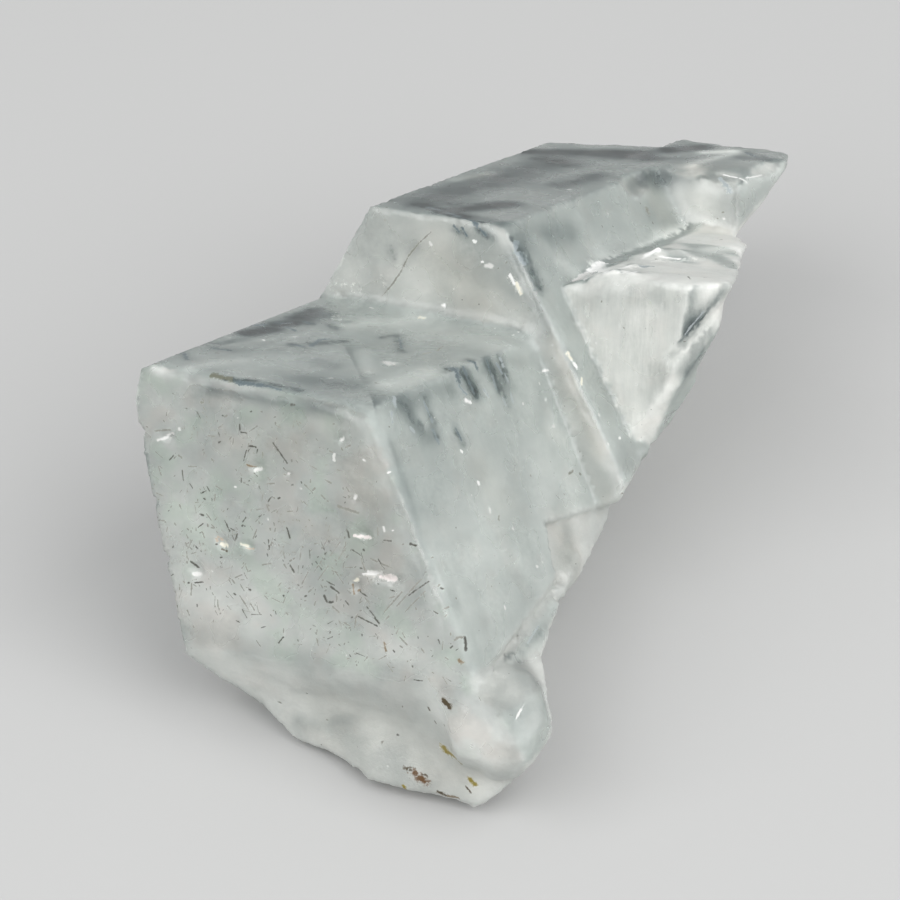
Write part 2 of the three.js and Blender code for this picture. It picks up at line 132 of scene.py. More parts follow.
# Clear places, painted dark as shade of dark surroundings seen through them: the same numbers.
WINDOWS_PAINTED_DARK = [
    # left part of the front crystal's top
    (183, 353, 187, 359, 7, 0.35), (212, 347, 231, 351, 7, 0.35), (222, 343, 240, 340, 9, 0.4),
    (248, 333, 270, 330, 11, 0.9), (275, 324, 292, 323, 9, 0.75), (295, 317, 316, 309, 10, 0.55),
    (305, 323, 310, 324, 7, 0.5), (291, 345, 304, 347, 7, 0.4), (312, 344, 342, 341, 8, 0.5),
    (330, 325, 335, 329, 8, 0.4), (205, 344, 215, 342, 8, 0.25), (215, 377, 255, 381, 7, 0.6),
    (255, 382, 300, 390, 8, 0.45),
    # foot of the second terminal
    (343, 323, 352, 322, 6, 0.4), (381, 338, 397, 335, 6, 0.35), (397, 336, 402, 352, 6, 0.4),
    # top of the second crystal
    (420, 205, 440, 210, 9, 0.7), (440, 211, 463, 217, 9, 0.9), (463, 217, 480, 222, 6, 0.6),
    (452, 204, 500, 203, 10, 0.35), (540, 158, 568, 165, 15, 0.5),
    # second terminal and its right face
    (453, 227, 466, 236, 6, 0.4), (478, 229, 492, 239, 6, 0.4), (391, 250, 393, 260, 9, 0.3),
    (403, 268, 416, 246, 8, 0.2), (512, 242, 522, 266, 10, 0.6), (522, 250, 537, 284, 13, 0.5),
    # right face of the front crystal
    (450, 368, 458, 382, 10, 0.45), (462, 372, 474, 392, 9, 0.6), (470, 360, 480, 370, 8, 0.45),
    (488, 362, 498, 388, 9, 0.45), (500, 360, 504, 372, 8, 0.5), (503, 393, 508, 404, 8, 0.3),
    (398, 398, 420, 425, 12, 0.3), (426, 400, 437, 438, 8, 0.35), (456, 430, 462, 443, 8, 0.4),
    # third crystal and rear
    (723, 293, 703, 318, 9, 0.35), (703, 318, 682, 340, 8, 0.4), (682, 340, 674, 350, 6, 0.3),
    (640, 264, 652, 259, 7, 0.4), (636, 176, 665, 184, 13, 0.2), (646, 172, 657, 174, 8, 0.3),
    (743, 152, 762, 157, 8, 0.4), (719, 178, 750, 181, 6, 0.4),
    # below the front terminal
    (230, 652, 330, 664, 14, 0.16), (372, 778, 402, 786, 7, 0.15), (506, 660, 530, 645, 7, 0.2),
]
# White scars: the same numbers.
SCARS = [
    (160, 439, 174, 434, 7, 0.3), (255, 470, 264, 468, 7, 0.3), (194, 573, 202, 573, 7, 0.25),
    (352, 536, 372, 538, 7, 0.28), (362, 574, 398, 579, 8, 0.42), (352, 586, 358, 580, 7, 0.35),
    (337, 314, 338, 320, 8, 0.6), (510, 275, 521, 293, 7, 0.45), (382, 280, 384, 284, 10, 0.35),
    (342, 284, 356, 286, 11, 0.35), (590, 267, 635, 270, 9, 0.9), (612, 260, 632, 264, 8, 0.8),
    (645, 257, 665, 243, 8, 0.8), (656, 262, 692, 260, 9, 0.7), (715, 152, 740, 150, 10, 0.3),
    (455, 726, 457, 738, 8, 0.25), (484, 725, 496, 730, 10, 0.2), (546, 606, 549, 614, 7, 0.4),
]
# The front crystal's top is clear on the left of this straight line, where a veil inside it ends, and
# painted darker there as shade of dark surroundings seen through it.
VEIL_EDGE = (374, 403, 339, 336)
VEIL = [(300, 386, 366, 400, 20, 1.0), (345, 380, 338, 350, 18, 1.0)]
# Beige or pinkish places.
WARM = [
    (440, 255, 480, 300, 30, 0.5), (470, 178, 490, 174, 12, 0.6), (552, 340, 600, 450, 10, 0.6),
    (640, 180, 665, 215, 20, 0.5), (700, 170, 710, 230, 26, 0.5), (480, 470, 500, 500, 30, 0.3),
    (560, 530, 568, 560, 24, 0.5), (250, 450, 330, 420, 40, 0.3), (370, 480, 370, 560, 40, 0.4),
    (340, 720, 430, 760, 40, 0.3), (480, 700, 500, 740, 40, 0.3), (460, 770, 470, 780, 16, 0.4),
]
# Swollen places: x, y of both ends and the radius in pixels, and how far out in mm.
SWELLS = [
    (520, 690, 530, 725, 24, 1.1), (495, 772, 515, 765, 14, 0.5), (545, 715, 543, 740, 12, 0.3),
    (556, 590, 572, 560, 12, 0.5), (640, 452, 648, 440, 8, 0.4), (675, 405, 690, 380, 8, 0.3),
]
# Edges that are worn round: x, y of both ends, the reach in mm, and rounds of smoothing.
SOFT_EDGES = [
    (377, 410, 470, 690, 2.0, 60), (503, 228, 618, 480, 1.2, 20), (335, 304, 528, 340, 1.5, 40),
    (590, 266, 668, 246, 2.6, 80), (600, 274, 634, 269, 2.2, 60), (590, 280, 690, 232, 1.4, 30),
    (640, 262, 700, 258, 2.0, 40), (690, 200, 745, 190, 3.0, 60), (470, 694, 528, 765, 3.0, 60),
    (497, 770, 545, 740, 1.2, 10), (462, 672, 505, 704, 2.4, 60), (548, 345, 600, 470, 1.0, 16),
    (162, 374, 370, 408, 0.9, 16),
]
# Worn, matt edges.
MATT = [
    (376, 410, 470, 690, 12, 1.0), (505, 225, 622, 478, 10, 0.8), (160, 372, 375, 408, 5, 0.5),
    (500, 696, 525, 715, 16, 0.8), (725, 178, 765, 172, 12, 0.7), (600, 268, 700, 250, 16, 0.6),
]
# Sharp marks: x, y of both ends and half the width in pixels, and what they are.
LINES = [
    # needles that stand out in the front terminal, and its pits
    (273, 443, 287, 463, 0.9, "dark"), (225, 521, 235, 541, 0.9, "dark"), (235, 541, 238, 532, 0.8, "dark"),
    (338, 506, 358, 513, 1.5, "grey"), (384, 540, 391, 541, 1.2, "dark"), (409, 545, 413, 547, 1.2, "dark"),
    (367, 607, 376, 618, 0.9, "dark"), (355, 615, 377, 626, 0.8, "dark"), (375, 618, 379, 623, 1.1, "dark"),
    (409, 595, 426, 583, 0.9, "dark"), (324, 596, 327, 602, 1.3, "dark"), (327, 602, 333, 602, 1.2, "dark"),
    (331, 587, 339, 593, 1.1, "dark"), (353, 592, 360, 590, 1.0, "brown"),
    (353, 584, 354, 594, 1.0, "brown"), (241, 432, 246, 433, 1.1, "dark"),
    (249, 446, 256, 447, 1.0, "dark"), (291, 405, 294, 405, 1.3, "dark"), (292, 485, 293, 485, 1.3, "dark"),
    (190, 561, 199, 567, 1.2, "dark"), (188, 583, 203, 582, 0.9, "dark"), (287, 528, 290, 538, 1.1, "dark"),
    (347, 530, 349, 537, 1.4, "dark"), (384, 643, 386, 651, 1.4, "brown"), (216, 537, 217, 541, 1.5, "tan"),
    (222, 549, 227, 551, 1.0, "umber"), (216, 544, 217, 544, 0.8, "dark"),
    (219, 542, 227, 546, 2.2, "cream"), (218, 537, 222, 539, 1.6, "tan"),
    (241, 544, 248, 546, 1.4, "cream"), (246, 548, 254, 549, 1.0, "tan"), (158, 440, 168, 437, 1.3, "pale"),
    (168, 434, 173, 433, 1.2, "pale"), (256, 470, 262, 469, 1.9, "pale"), (194, 574, 201, 574, 1.6, "pale"),
    (354, 536, 371, 538, 1.5, "pink"), (364, 573, 382, 574, 1.9, "pale"), (381, 577, 396, 580, 2.2, "pink"),
    (353, 583, 358, 579, 1.8, "cream"), (384, 612, 402, 592, 0.7, "grey"),
    (397, 606, 420, 580, 0.7, "grey"), (405, 612, 424, 592, 0.6, "grey"), (346, 546, 338, 560, 0.6, "grey"),
    (340, 542, 330, 556, 0.6, "grey"), (330, 536, 322, 548, 0.6, "grey"), (322, 560, 314, 572, 0.6, "grey"),
    (328, 566, 318, 580, 0.6, "grey"), (308, 572, 302, 584, 0.6, "grey"), (371, 559, 392, 568, 0.9, "grey"),
    (289, 563, 294, 572, 1.0, "dark"), (240, 596, 250, 612, 0.7, "grey"), (155, 431, 170, 430, 0.9, "grey"),
    (247, 465, 256, 467, 1.2, "brown"),
    # crack in the second terminal
    (431, 232, 419, 243, 0.7, "grey"), (419, 243, 408, 257, 1.3, "grey"), (408, 257, 400, 273, 1.1, "grey"),
    (400, 273, 391, 286, 0.9, "grey"), (391, 286, 382, 296, 0.7, "grey"),
    # deepest parts of the clear places, painted dark as shade of dark surroundings seen through them
    (184, 354, 187, 359, 2.2, "deep"), (213, 348, 230, 351, 1.8, "deep"), (252, 325, 264, 325, 4.0, "deep"),
    (278, 323, 290, 323, 3.2, "deep"), (286, 327, 295, 331, 2.4, "deep"), (305, 322, 310, 324, 2.2, "deep"),
    (292, 345, 303, 347, 2.2, "deep"), (311, 346, 319, 341, 2.4, "deep"), (319, 340, 329, 339, 1.8, "deep"),
    (208, 377, 238, 381, 2.4, "moss"), (238, 380, 262, 384, 3.2, "deep"), (262, 384, 280, 388, 1.8, "deep"),
    (427, 207, 442, 211, 2.8, "deep"), (447, 213, 461, 217, 3.0, "deep"), (463, 218, 478, 222, 1.6, "deep"),
    (454, 226, 459, 232, 1.5, "deep"), (462, 228, 467, 236, 1.5, "deep"), (480, 229, 486, 235, 1.6, "deep"),
    (511, 244, 514, 254, 1.4, "dim"), (515, 254, 521, 266, 1.6, "dim"), (453, 368, 459, 382, 3.6, "deep"),
    (462, 366, 467, 378, 1.4, "deep"), (467, 378, 474, 393, 1.8, "deep"), (459, 386, 466, 394, 1.8, "dim"),
    (470, 361, 477, 369, 2.2, "deep"), (487, 361, 491, 374, 1.8, "deep"), (492, 376, 496, 388, 1.5, "dim"),
    (497, 364, 501, 372, 1.8, "dim"), (500, 358, 503, 366, 2.2, "slate"),
    (505, 374, 508, 382, 1.2, "slate"), (484, 390, 488, 396, 1.6, "slate"),
    (503, 398, 506, 405, 1.4, "slate"), (511, 394, 513, 402, 1.2, "slate"),
    (394, 396, 395, 405, 1.5, "slate"), (392, 412, 393, 422, 1.4, "slate"),
    (424, 402, 432, 421, 1.8, "dim"), (433, 430, 438, 442, 2.3, "dim"), (411, 428, 414, 432, 1.8, "slate"),
    (456, 429, 461, 440, 2.0, "deep"), (528, 643, 539, 626, 0.8, "slate"),
    (746, 153, 757, 157, 2.4, "deep"), (720, 178, 734, 180, 1.6, "slate"),
    (703, 312, 686, 334, 1.2, "slate"), (639, 265, 644, 261, 1.2, "slate"),
    # the two pale lines run along the crease under the second crystal's right face: painted light over the
    # shade in that crease
    (580, 277, 600, 270, 1.4, "pale"), (664, 244, 684, 236, 1.2, "pale"), (616, 281, 624, 281, 0.8, "grey"),
    (688, 277, 690, 280, 1.0, "grey"), (704, 278, 706, 278, 0.9, "grey"), (399, 338, 402, 348, 1.3, "deep"),
    # dashes and hooks
    (460, 640, 463, 636, 1.3, "grey"), (463, 636, 467, 637, 1.3, "grey"), (467, 637, 470, 648, 1.5, "dark"),
    (423, 354, 431, 352, 1.2, "grey"), (437, 351, 443, 346, 1.2, "grey"), (368, 326, 378, 327, 1.0, "grey"),
    (569, 474, 573, 471, 1.5, "grey"), (580, 474, 581, 474, 1.5, "grey"),
    # stains near the bottom tip
    (443, 701, 449, 707, 3.2, "umber"), (397, 735, 398, 735, 1.2, "dark"),
    (429, 708, 430, 709, 1.6, "umber"), (404, 768, 416, 770, 1.9, "umber"),
    (414, 773, 425, 782, 4.6, "rust"), (410, 770, 426, 777, 1.8, "umber"),
    (420, 781, 427, 785, 1.6, "umber"), (443, 748, 451, 753, 4.2, "olive"),
    (450, 753, 457, 758, 2.6, "olive"), (456, 757, 461, 764, 1.8, "olive"),
    (470, 779, 475, 784, 3.0, "olive"), (466, 786, 471, 792, 1.2, "umber"),
    (438, 792, 447, 796, 2.2, "umber"), (447, 796, 458, 799, 1.8, "brown"),
    (455, 663, 457, 665, 2.0, "brown"), (403, 786, 406, 792, 1.8, "olive"),
    # glints and white specks
    (342, 440, 343, 440, 1.8, "pale"), (334, 455, 334, 460, 1.5, "pale"), (289, 473, 290, 474, 1.4, "pale"),
    (355, 498, 356, 498, 1.5, "pale"), (179, 429, 180, 429, 1.4, "pale"),
    (294, 337, 296, 337, 1.4, "white"), (263, 340, 264, 341, 1.2, "white"),
    (443, 305, 444, 305, 1.9, "white"), (426, 316, 432, 317, 1.6, "cream"),
    (478, 483, 479, 484, 1.7, "white"), (490, 509, 490, 512, 1.6, "pale"),
    (553, 426, 554, 426, 1.4, "pale"), (545, 400, 546, 400, 1.4, "pale"), (546, 370, 548, 370, 1.2, "pale"),
    (474, 241, 475, 241, 1.6, "white"), (582, 378, 583, 384, 1.4, "cream"),
    (619, 438, 620, 438, 1.5, "white"), (395, 470, 396, 470, 1.0, "pale"),
    (486, 266, 492, 266, 2.2, "pale"), (482, 262, 483, 262, 1.2, "white"),
    (430, 243, 431, 244, 1.8, "pale"), (510, 276, 514, 283, 1.8, "white"),
    (516, 284, 521, 293, 2.0, "cream"), (465, 400, 470, 402, 2.0, "white"),
    (461, 451, 462, 452, 1.5, "white"), (569, 353, 573, 360, 1.9, "cream"),
    (573, 360, 577, 367, 1.9, "white"), (592, 268, 612, 267, 2.6, "snow"),
    (612, 268, 634, 271, 2.8, "snow"), (616, 260, 630, 264, 2.2, "snow"), (646, 256, 655, 248, 2.2, "snow"),
    (656, 248, 664, 243, 2.0, "snow"), (660, 259, 679, 260, 1.8, "snow"), (742, 266, 743, 268, 2.0, "snow"),
    (724, 176, 750, 179, 0.7, "white"), (750, 179, 760, 175, 0.5, "white"),
]
MARK_COLOURS = {
    "dark": (0.045, 0.045, 0.035),
    "grey": (0.20, 0.20, 0.175),
    "umber": (0.05, 0.035, 0.012),
    "rust": (0.085, 0.036, 0.002),
    "brown": (0.17, 0.13, 0.08),
    "olive": (0.21, 0.165, 0.015),
    # deep, dim, slate and moss: painted shade, mostly of dark surroundings seen through clear places
    "deep": (0.10, 0.13, 0.14),
    "dim": (0.19, 0.225, 0.235),
    "slate": (0.30, 0.335, 0.34),
    "tan": (0.42, 0.36, 0.29),
    "moss": (0.13, 0.135, 0.10),
    "pale": (0.57, 0.57, 0.55),
    "pink": (0.63, 0.58, 0.56),
    "cream": (0.63, 0.61, 0.51),
    "white": (0.72, 0.72, 0.70),
    "snow": (0.86, 0.86, 0.84),
}
# The body's colour from clear and dark to white; its dark end is painted shade of dark surroundings seen
# through clear places.
BODY_RAMP = [
    (0.0, (0.03, 0.042, 0.048)), (0.25, (0.17, 0.21, 0.225)), (0.5, (0.505, 0.53, 0.505)),
    (0.75, (0.72, 0.73, 0.695)), (1.0, (0.93, 0.93, 0.885)),
]
# How light each zone is before anything is painted on it: 0 is the middle grey. The second crystal's top is
# darker as painted shade of dark surroundings seen through it; the ledge is lighter, partly for its white
# crust and partly as painted light on a face turned from the lamps.
ZONE_TONES = {
    "front": 0.08, "second": 0.15, "third": 0.48, "first_top": 0.03, "second_top": -0.10, "right": 0.13,
    "ledge": 0.25, "broken": 0.24,
}
ZONE_BLUR = {"front": 6, "broken": 6}  # zones with a soft outline: rounds of blurring, 1 for the others

# Where the zones begin and end, in the crystals' frame in mm.
PITS_Z = -1.2
PITS_ABOVE_SHELL = 0.25
SHELL_TOP_Y, SHELL_TOP_SLOPE = -15.4, 0.03  # upper edge of the break below the front terminal
FRONT_Z = -1
SECOND_TERMINAL_Z, TERMINAL_SLACK = -18.8, 0.5
THIRD_FRONT_Z, THIRD_BACK_Z, THIRD_LEFT_X = -21, -26.5, -1
LEDGE_FRONT_Z, LEDGE_TOP_Y, LEDGE_LEFT_X = -21.5, 4.8, 1
FIRST_TOP_SLACK, SECOND_TOP_Y = 1, 5

# Cosines between a face's normal and the c axis, or another way that it faces.
ALONG_AXIS, ACROSS_AXIS = 0.999, 0.01
FACES_TOP, FACES_RIGHT, FACES_LEFT, FACES_LEDGE, FACES_THIRD, FACES_PIT = 0.9, 0.8, -0.3, 0.8, 0.3, 0.2
STROKE_FACING = (0.3, 0.8)  # with the stroke's own face: it fades in between these
HIDDEN_FACING = (-0.1, 0.2)  # away from the camera: hidden sides set in between these

# Noise: how places are stretched, the size of its features in mm, its octaves and its seed.
EVEN = (1, 1, 1)
ALONG_C = (1.0, 1.0, 0.04)
NOISES = {
    "wear": (EVEN, 2.5, 2, 1),
    "rough": (EVEN, 3.0, 3, 2),
    "ridges": (EVEN, 1.1, 2, 3),
    "fine lines": (ALONG_C, 0.9, 3, 4),
    "broad lines": (ALONG_C, 3.5, 1, 5),
    "growth": (EVEN, 1.6, 2, 6),
    "chips": (EVEN, 1.3, 3, 7),
    "clouds": (EVEN, 5.0, 3, 8),
    "wisps": ((0.9, 0.9, 0.4), 1.3, 3, 9),
    "polish": (EVEN, 2.0, 3, 10),
    "hue": (EVEN, 2.0, 3, 12),
    "crust": (EVEN, 0.7, 2, 13),
    "streaks": ((0.8, 0.8, 2.0), 0.7, 3, 14),
    "veils": ((1, 1, 0.35), 4.5, 4, 15),
}
SEED_SHIFT = (17.3, -9.1, 5.7)  # how far each seed moves the noise
NOISE_FADE, NOISE_FINER = 1.0, 2.0

# How far each noise moves the surface, in mm.
RELIEF_MM = {
    "rough": 0.09, "ridges": 0.05, "fine lines": 0.035, "broad lines": 0.05, "growth": 0.018, "crust": 0.2,
    "chips": 0.09,
}
RIDGE_LEVEL = 0.5
CHIPPED = (0.25, 0.7)  # the noise between which an edge is chipped
KEPT_FLAT_MM = (0.05, 0.4)  # heights above the floor between which the relief sets in

# Smoothing: its strength and its rounds.
THIN_SMOOTHING, EDGE_SMOOTHING, BROKEN_SMOOTHING = (0.6, 16), (0.55, 2), (0.45, 4)
SOFT_EDGE_STRENGTH, SOFT_EDGE_CORE = 0.6, 0.3
THIN_CREASE, THIN_GAIN, THIN_BLUR = (1.15, 1.35), 2.5, 3
EDGE_GAIN, EDGE_BLUR, LEAST_WEAR = 2.2, 2, 0.4
SWELL_BLUR = 12

# Clouds that are in the stone everywhere, and veils on the sides that the camera doesn't see.
CLOUDS_TONE, WISPS_TONE, WISPS_DRIFT = 0.08, 0.06, 0.5
VEILS_TONE, VEILS_VARY = 0.1, 0.55

# Needles in the front terminal: each field's corner x, y, its width and height in mm, and how many it holds.
NEEDLE_FIELDS_MM = [
    (-15, -15, 14, 14, 170), (-14, -14.5, 15, 8, 150), (-3, -15, 9, 7, 70), (-12, -9, 10, 8, 60),
    (1.5, -18.5, 4, 6, 26), (-13, -13, 12, 11, 130),
]
RANDOM_SEED = 11
NEEDLE_HALF_MM, NEEDLE_MORE_MM, NEEDLE_BIAS = 0.04, 0.30, 3.2
NEEDLE_THICK_MM, NEEDLE_THICKER_MM, NEEDLES_GREY = 0.022, 0.03, 0.78
SPECKS = 700  # tiny ones all over
SPECK_MM, SPECK_MORE_MM, SPECK_STRETCH_MM, SPECKS_GREY = 0.015, 0.03, 0.02, 0.4
MARK_SEARCH_MM = 2.5  # how far from a mark's middle a face can still belong to it
MARK_REACH_MM = 0.8  # how far beside a mark its faces carry it
NO_MARK = 99.0  # the place beside a mark, for faces that carry none

# The shader's strengths.
STREAKS_TONE, MOTTLE_TONE, FIBRES_TONE = 0.22, 0.24, 0.5
# clear places: how torn and mottled their edges are, how open, and how much darker they are painted as shade
# of dark surroundings seen through them
WINDOW_TORN, WINDOW_MOTTLED, WINDOW_OPEN, WINDOW_TONE = 1.5, 1.2, 0.62, 0.42
SCAR_TORN, SCAR_TONE = 2.2, 0.5
# how much darker the clear side of the veil is painted, as shade seen through it, and how soft the veil's
# edge is
VEIL_TONE, VEIL_SOFT_MM = 0.4, 0.04
MARK_RAGGED, MARK_FADE = 4.0, (1.5, 0.3)
GREEN, GREEN_TINT = 0.45, (0.88, 1.0, 0.90)
PINK, PINK_ELSEWHERE, PINK_TINT = 0.6, 0.35, (1.0, 0.935, 0.92)
BLUE, BLUE_TINT = 0.8, (0.955, 1.0, 1.0)
WARM_TINT = (1.0, 0.95, 0.90)
TRANSMISSION, BROKEN_DULLS, MARK_DULLS = (0.82, 0.22), 0.08, 0.7  # where it is clear, where it is white
POLISH = (0.22, 0.36)  # from smooth to less smooth
BROKEN_ROUGHER, MATT_ROUGHER, SCAR_ROUGHER = 0.10, 0.3, 0.2
BERYL_IOR = 1.577
MILKINESS, MILK_RADIUS, MILK_SCALE_MM = 0.4, (1.0, 1.0, 1.0), 1.5
GRAIN_STRENGTH, GRAIN_HEIGHT_MM, GRAIN_LEAST, GRAIN_BROKEN = 0.6, 0.06, 0.12, 0.6
ABSORPTION = {"Color": (0.82, 0.93, 0.90, 1), "Density": 30.0}


def lying_frame():
    """Columns are the crystals' own x, y and z in the frame of the model."""
    rise, heading, roll = AXIS_RISE, AXIS_HEADING, AXIS_ROLL
    axis = Vector((math.cos(rise) * math.cos(heading), math.cos(rise) * math.sin(heading), math.sin(rise)))
    level = Vector((-math.sin(heading), math.cos(heading), 0))
    upright = axis.cross(level)
    across = level * math.cos(roll) + upright * math.sin(roll)
    top = upright * math.cos(roll) - level * math.sin(roll)
    return Matrix((across, top, axis)).transposed()


LYING = lying_frame()
TURN = np.array(LYING)
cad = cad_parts[NODE]
# The highest corner is the front terminal's upper right one, where the crystals' frame starts.
CORNER = max((v.co for v in cad.data.vertices), key=lambda co: co.z).copy()
CAMERA_PLACE = CORNER + Vector(CAMERA_FROM_CORNER_MM) * MM
CAMERA_TURN = Matrix.Rotation(math.pi / 2 - CAMERA_ELEVATION, 3, "X")
TO_CAMERA = TURN.T @ np.array(Vector(CAMERA_FROM_CORNER_MM).normalized())
CAD_TREE = BVHTree.FromPolygons([v.co for v in cad.data.vertices], [p.vertices for p in cad.data.polygons])


def to_crystal(places):
    """Places in the model's frame, in the crystals' own frame in mm."""
    return (places - np.array(CORNER)) @ TURN / MM


def to_model(places_mm):
    return places_mm @ TURN.T * MM + np.array(CORNER)


# ---- studio

def area_light(name, place, power):
    light = bpy.data.lights.new(name, "AREA")
    light.size = LIGHT_SIZE
    light.energy = power
    ob = bpy.data.objects.new(name, light)
    ob.location = place
    ob.rotation_euler = (LIGHTS_AIM - Vector(place)).to_track_quat("-Z", "Y").to_euler()
    bpy.context.scene.collection.objects.link(ob)


def add_camera():
    camera = bpy.data.cameras.new("camera")
    camera.lens, camera.sensor_width = LENS_MM, SENSOR_MM
    camera.clip_start, camera.clip_end = CLIP_NEAR, CLIP_FAR
    ob = bpy.data.objects.new("camera", camera)
    ob.location = CAMERA_PLACE
    ob.rotation_euler = CAMERA_TURN.to_euler()
    bpy.context.scene.collection.objects.link(ob)
    bpy.context.scene.camera = ob


def add_floor():
    bpy.ops.mesh.primitive_plane_add(size=FLOOR_SIZE)
    floor = bpy.context.object
    floor.name = "floor"
    material = bpy.data.materials.new("floor")
    material.use_nodes = True
    shader = material.node_tree.nodes["Principled BSDF"]
    shader.inputs["Base Color"].default_value = FLOOR_COLOUR
    shader.inputs["Roughness"].default_value = FLOOR_ROUGHNESS
    floor.data.materials.append(material)


def studio():
    """Camera, floor, even light all round and two soft lamps."""
    add_camera()
    add_floor()
    world = bpy.data.worlds.new("studio")
    world.use_nodes = True
    world.node_tree.nodes["Background"].inputs["Color"].default_value = WORLD_COLOUR
    bpy.context.scene.world = world
    bpy.context.scene.view_settings.view_transform = "Standard"
    for name, (place, power) in LIGHTS.items():
        area_light(name, place, power)


# ---- mesh

def even_mesh(source):
    """A mesh of even squares with the source's sharp edges."""
    ob = bpy.data.objects.new("source", source.data.copy())
    bpy.context.scene.collection.objects.link(ob)
    bm = bmesh.new()
    bm.from_mesh(ob.data)
    bmesh.ops.remove_doubles(bm, verts=bm.verts, dist=WELD_MM * MM)
    bm.to_mesh(ob.data)
    bm.free()
    modifier = ob.modifiers.new("even", "REMESH")
    modifier.mode = "SHARP"
    modifier.octree_depth = REMESH_DEPTH
    modifier.scale = REMESH_SCALE
    modifier.use_remove_disconnected = False
    evaluated = ob.evaluated_get(bpy.context.evaluated_depsgraph_get())
    mesh = bpy.data.meshes.new_from_object(evaluated)
    bpy.data.objects.remove(ob)
    return mesh


def pair_faces(edge, through_air=False):
    """Pairs the faces at a crowded edge, round it through the solid or else through the air."""
    start, end = (v.co for v in edge.verts)
    run = (end - start).normalized()
    side = run.orthogonal().normalized()
    above = run.cross(side)

    def turn(face):
        way = face.calc_center_median() - start
        return math.atan2(way.dot(above), way.dot(side))

    faces = sorted(edge.link_faces, key=turn)
    forward = next(l for l in faces[0].loops if l.edge is edge).vert is edge.verts[0]
    first = 1 if forward != through_air else 0
    joined = {}
    for k in range(first, first + len(faces), 2):
        one, other = faces[k % len(faces)], faces[(k + 1) % len(faces)]
        joined[one], joined[other] = other, one
    return joined


def next_face(face, edge, joined):
    """The face that goes on from this one over an edge."""
    if edge in joined:
        return joined[edge][face]
    return next(f for f in edge.link_faces if f is not face)


def sheets_at(vert, joined):
    """The faces at a vertex, in groups that belong to one sheet each, always in the same order."""
    left, groups = set(vert.link_faces), []
    while left:
        group, waiting = set(), [left.pop()]
        while waiting:
            face = waiting.pop()
            group.add(face)
            for edge in face.edges:
                if vert not in edge.verts:
                    continue
                near = next_face(face, edge, joined)
                if near in left:
                    left.discard(near)
                    waiting.append(near)
        groups.append(group)
    return sorted(groups, key=lambda group: min(face.index for face in group))


def still_touching(edge, sheets):
    """Whether all the faces at a crowded edge are in one sheet at both of its ends."""
    return all(any(set(edge.link_faces) <= group for group in sheets[vert]) for vert in edge.verts)


def separate_sheets(mesh):
    """Vertices and faces as arrays. Where sheets touch at an edge, each gets vertices of its own."""
    bm = bmesh.new()
    bm.from_mesh(mesh)
    bm.faces.index_update()
    bm.verts.index_update()
    bm.normal_update()
    crowded = [e for e in bm.edges if len(e.link_faces) > 2]
    verts = sorted({v for e in crowded for v in e.verts}, key=lambda v: v.index)
    joined = {edge: pair_faces(edge) for edge in crowded}
    sheets = {vert: sheets_at(vert, joined) for vert in verts}
    for edge in crowded:
        if still_touching(edge, sheets):
            joined[edge] = pair_faces(edge, through_air=True)
            sheets.update({vert: sheets_at(vert, joined) for vert in edge.verts})
    places = [tuple(v.co) for v in bm.verts]
    faces = [[v.index for v in f.verts] for f in bm.faces]
    for vert in verts:
        for group in sheets[vert][1:]:
            for face in group:
                corners = faces[face.index]
                corners[corners.index(vert.index)] = len(places)
            places.append(tuple(vert.co))
    bm.free()
    return np.array(places), np.array(faces)


def largest_piece(places, faces):
    """The biggest connected piece, without crumbs of one square that the split edges let go."""
    beside = [[] for _ in places]
    for index, corners in enumerate(faces.tolist()):
        for corner in corners:
            beside[corner].append(index)
    left, pieces = set(range(len(faces))), []
    while left:
        piece, waiting = [], [left.pop()]
        while waiting:
            face = waiting.pop()
            piece.append(face)
            near = {other for corner in faces[face] for other in beside[corner]} & left
            left -= near
            waiting += near
        pieces.append(piece)
    used, corners = np.unique(faces[max(pieces, key=len)], return_inverse=True)
    return places[used], corners.reshape(-1, 4)


class Surface:
    """The cluster's surface as arrays, in the crystals' frame in mm."""

    def __init__(self, places, faces):
        self.places = to_crystal(places)
        self.faces = faces
        ends = np.stack([faces, np.roll(faces, -1, axis=1)], axis=-1).reshape(-1, 2)
        self.edges = np.unique(np.sort(ends, axis=1), axis=0)
        self.degree = np.bincount(self.edges.ravel(), minlength=len(places))
        nearest = [CAD_TREE.find_nearest(Vector(p))[1] for p in places]
        self.cad_normals = np.array(nearest) @ TURN
        self.update_normals()

    def spread(self, values):
        """Each vertex's mean over its neighbours."""
        a, b = self.edges.T
        columns = values.reshape(len(values), -1).T
        total = [np.bincount(a, c[b], len(c)) + np.bincount(b, c[a], len(c)) for c in columns]
        return (np.array(total) / self.degree).T.reshape(values.shape)

    def blurred(self, values, times):
        for _ in range(times):
            values = 0.5 * (values + self.spread(values))
        return values

    def smooth(self, weight, times):
        for _ in range(times):
            self.places += weight[:, None] * (self.spread(self.places) - self.places)
        self.update_normals()

    def update_normals(self):
        corners = self.places[self.faces]
        normals = np.cross(corners[:, 2] - corners[:, 0], corners[:, 3] - corners[:, 1])
        total = np.zeros_like(self.places)
        for k in range(4):
            np.add.at(total, self.faces[:, k], normals)
        self.normals = total / np.maximum(np.linalg.norm(total, axis=1), TINY)[:, None]

    def creases(self):
        """0 on flat ground, 1 at a right-angled edge, up to 2 where the stone is thin."""
        a, b = self.edges.T
        turn = 1 - np.sum(self.cad_normals[a] * self.cad_normals[b], axis=1)
        crease = np.zeros(len(self.places))
        np.maximum.at(crease, a, turn)
        np.maximum.at(crease, b, turn)
        return crease


def smoothstep(values, low, high):
    t = np.clip((values - low) / (high - low), 0, 1)
    return t * t * (3 - 2 * t)


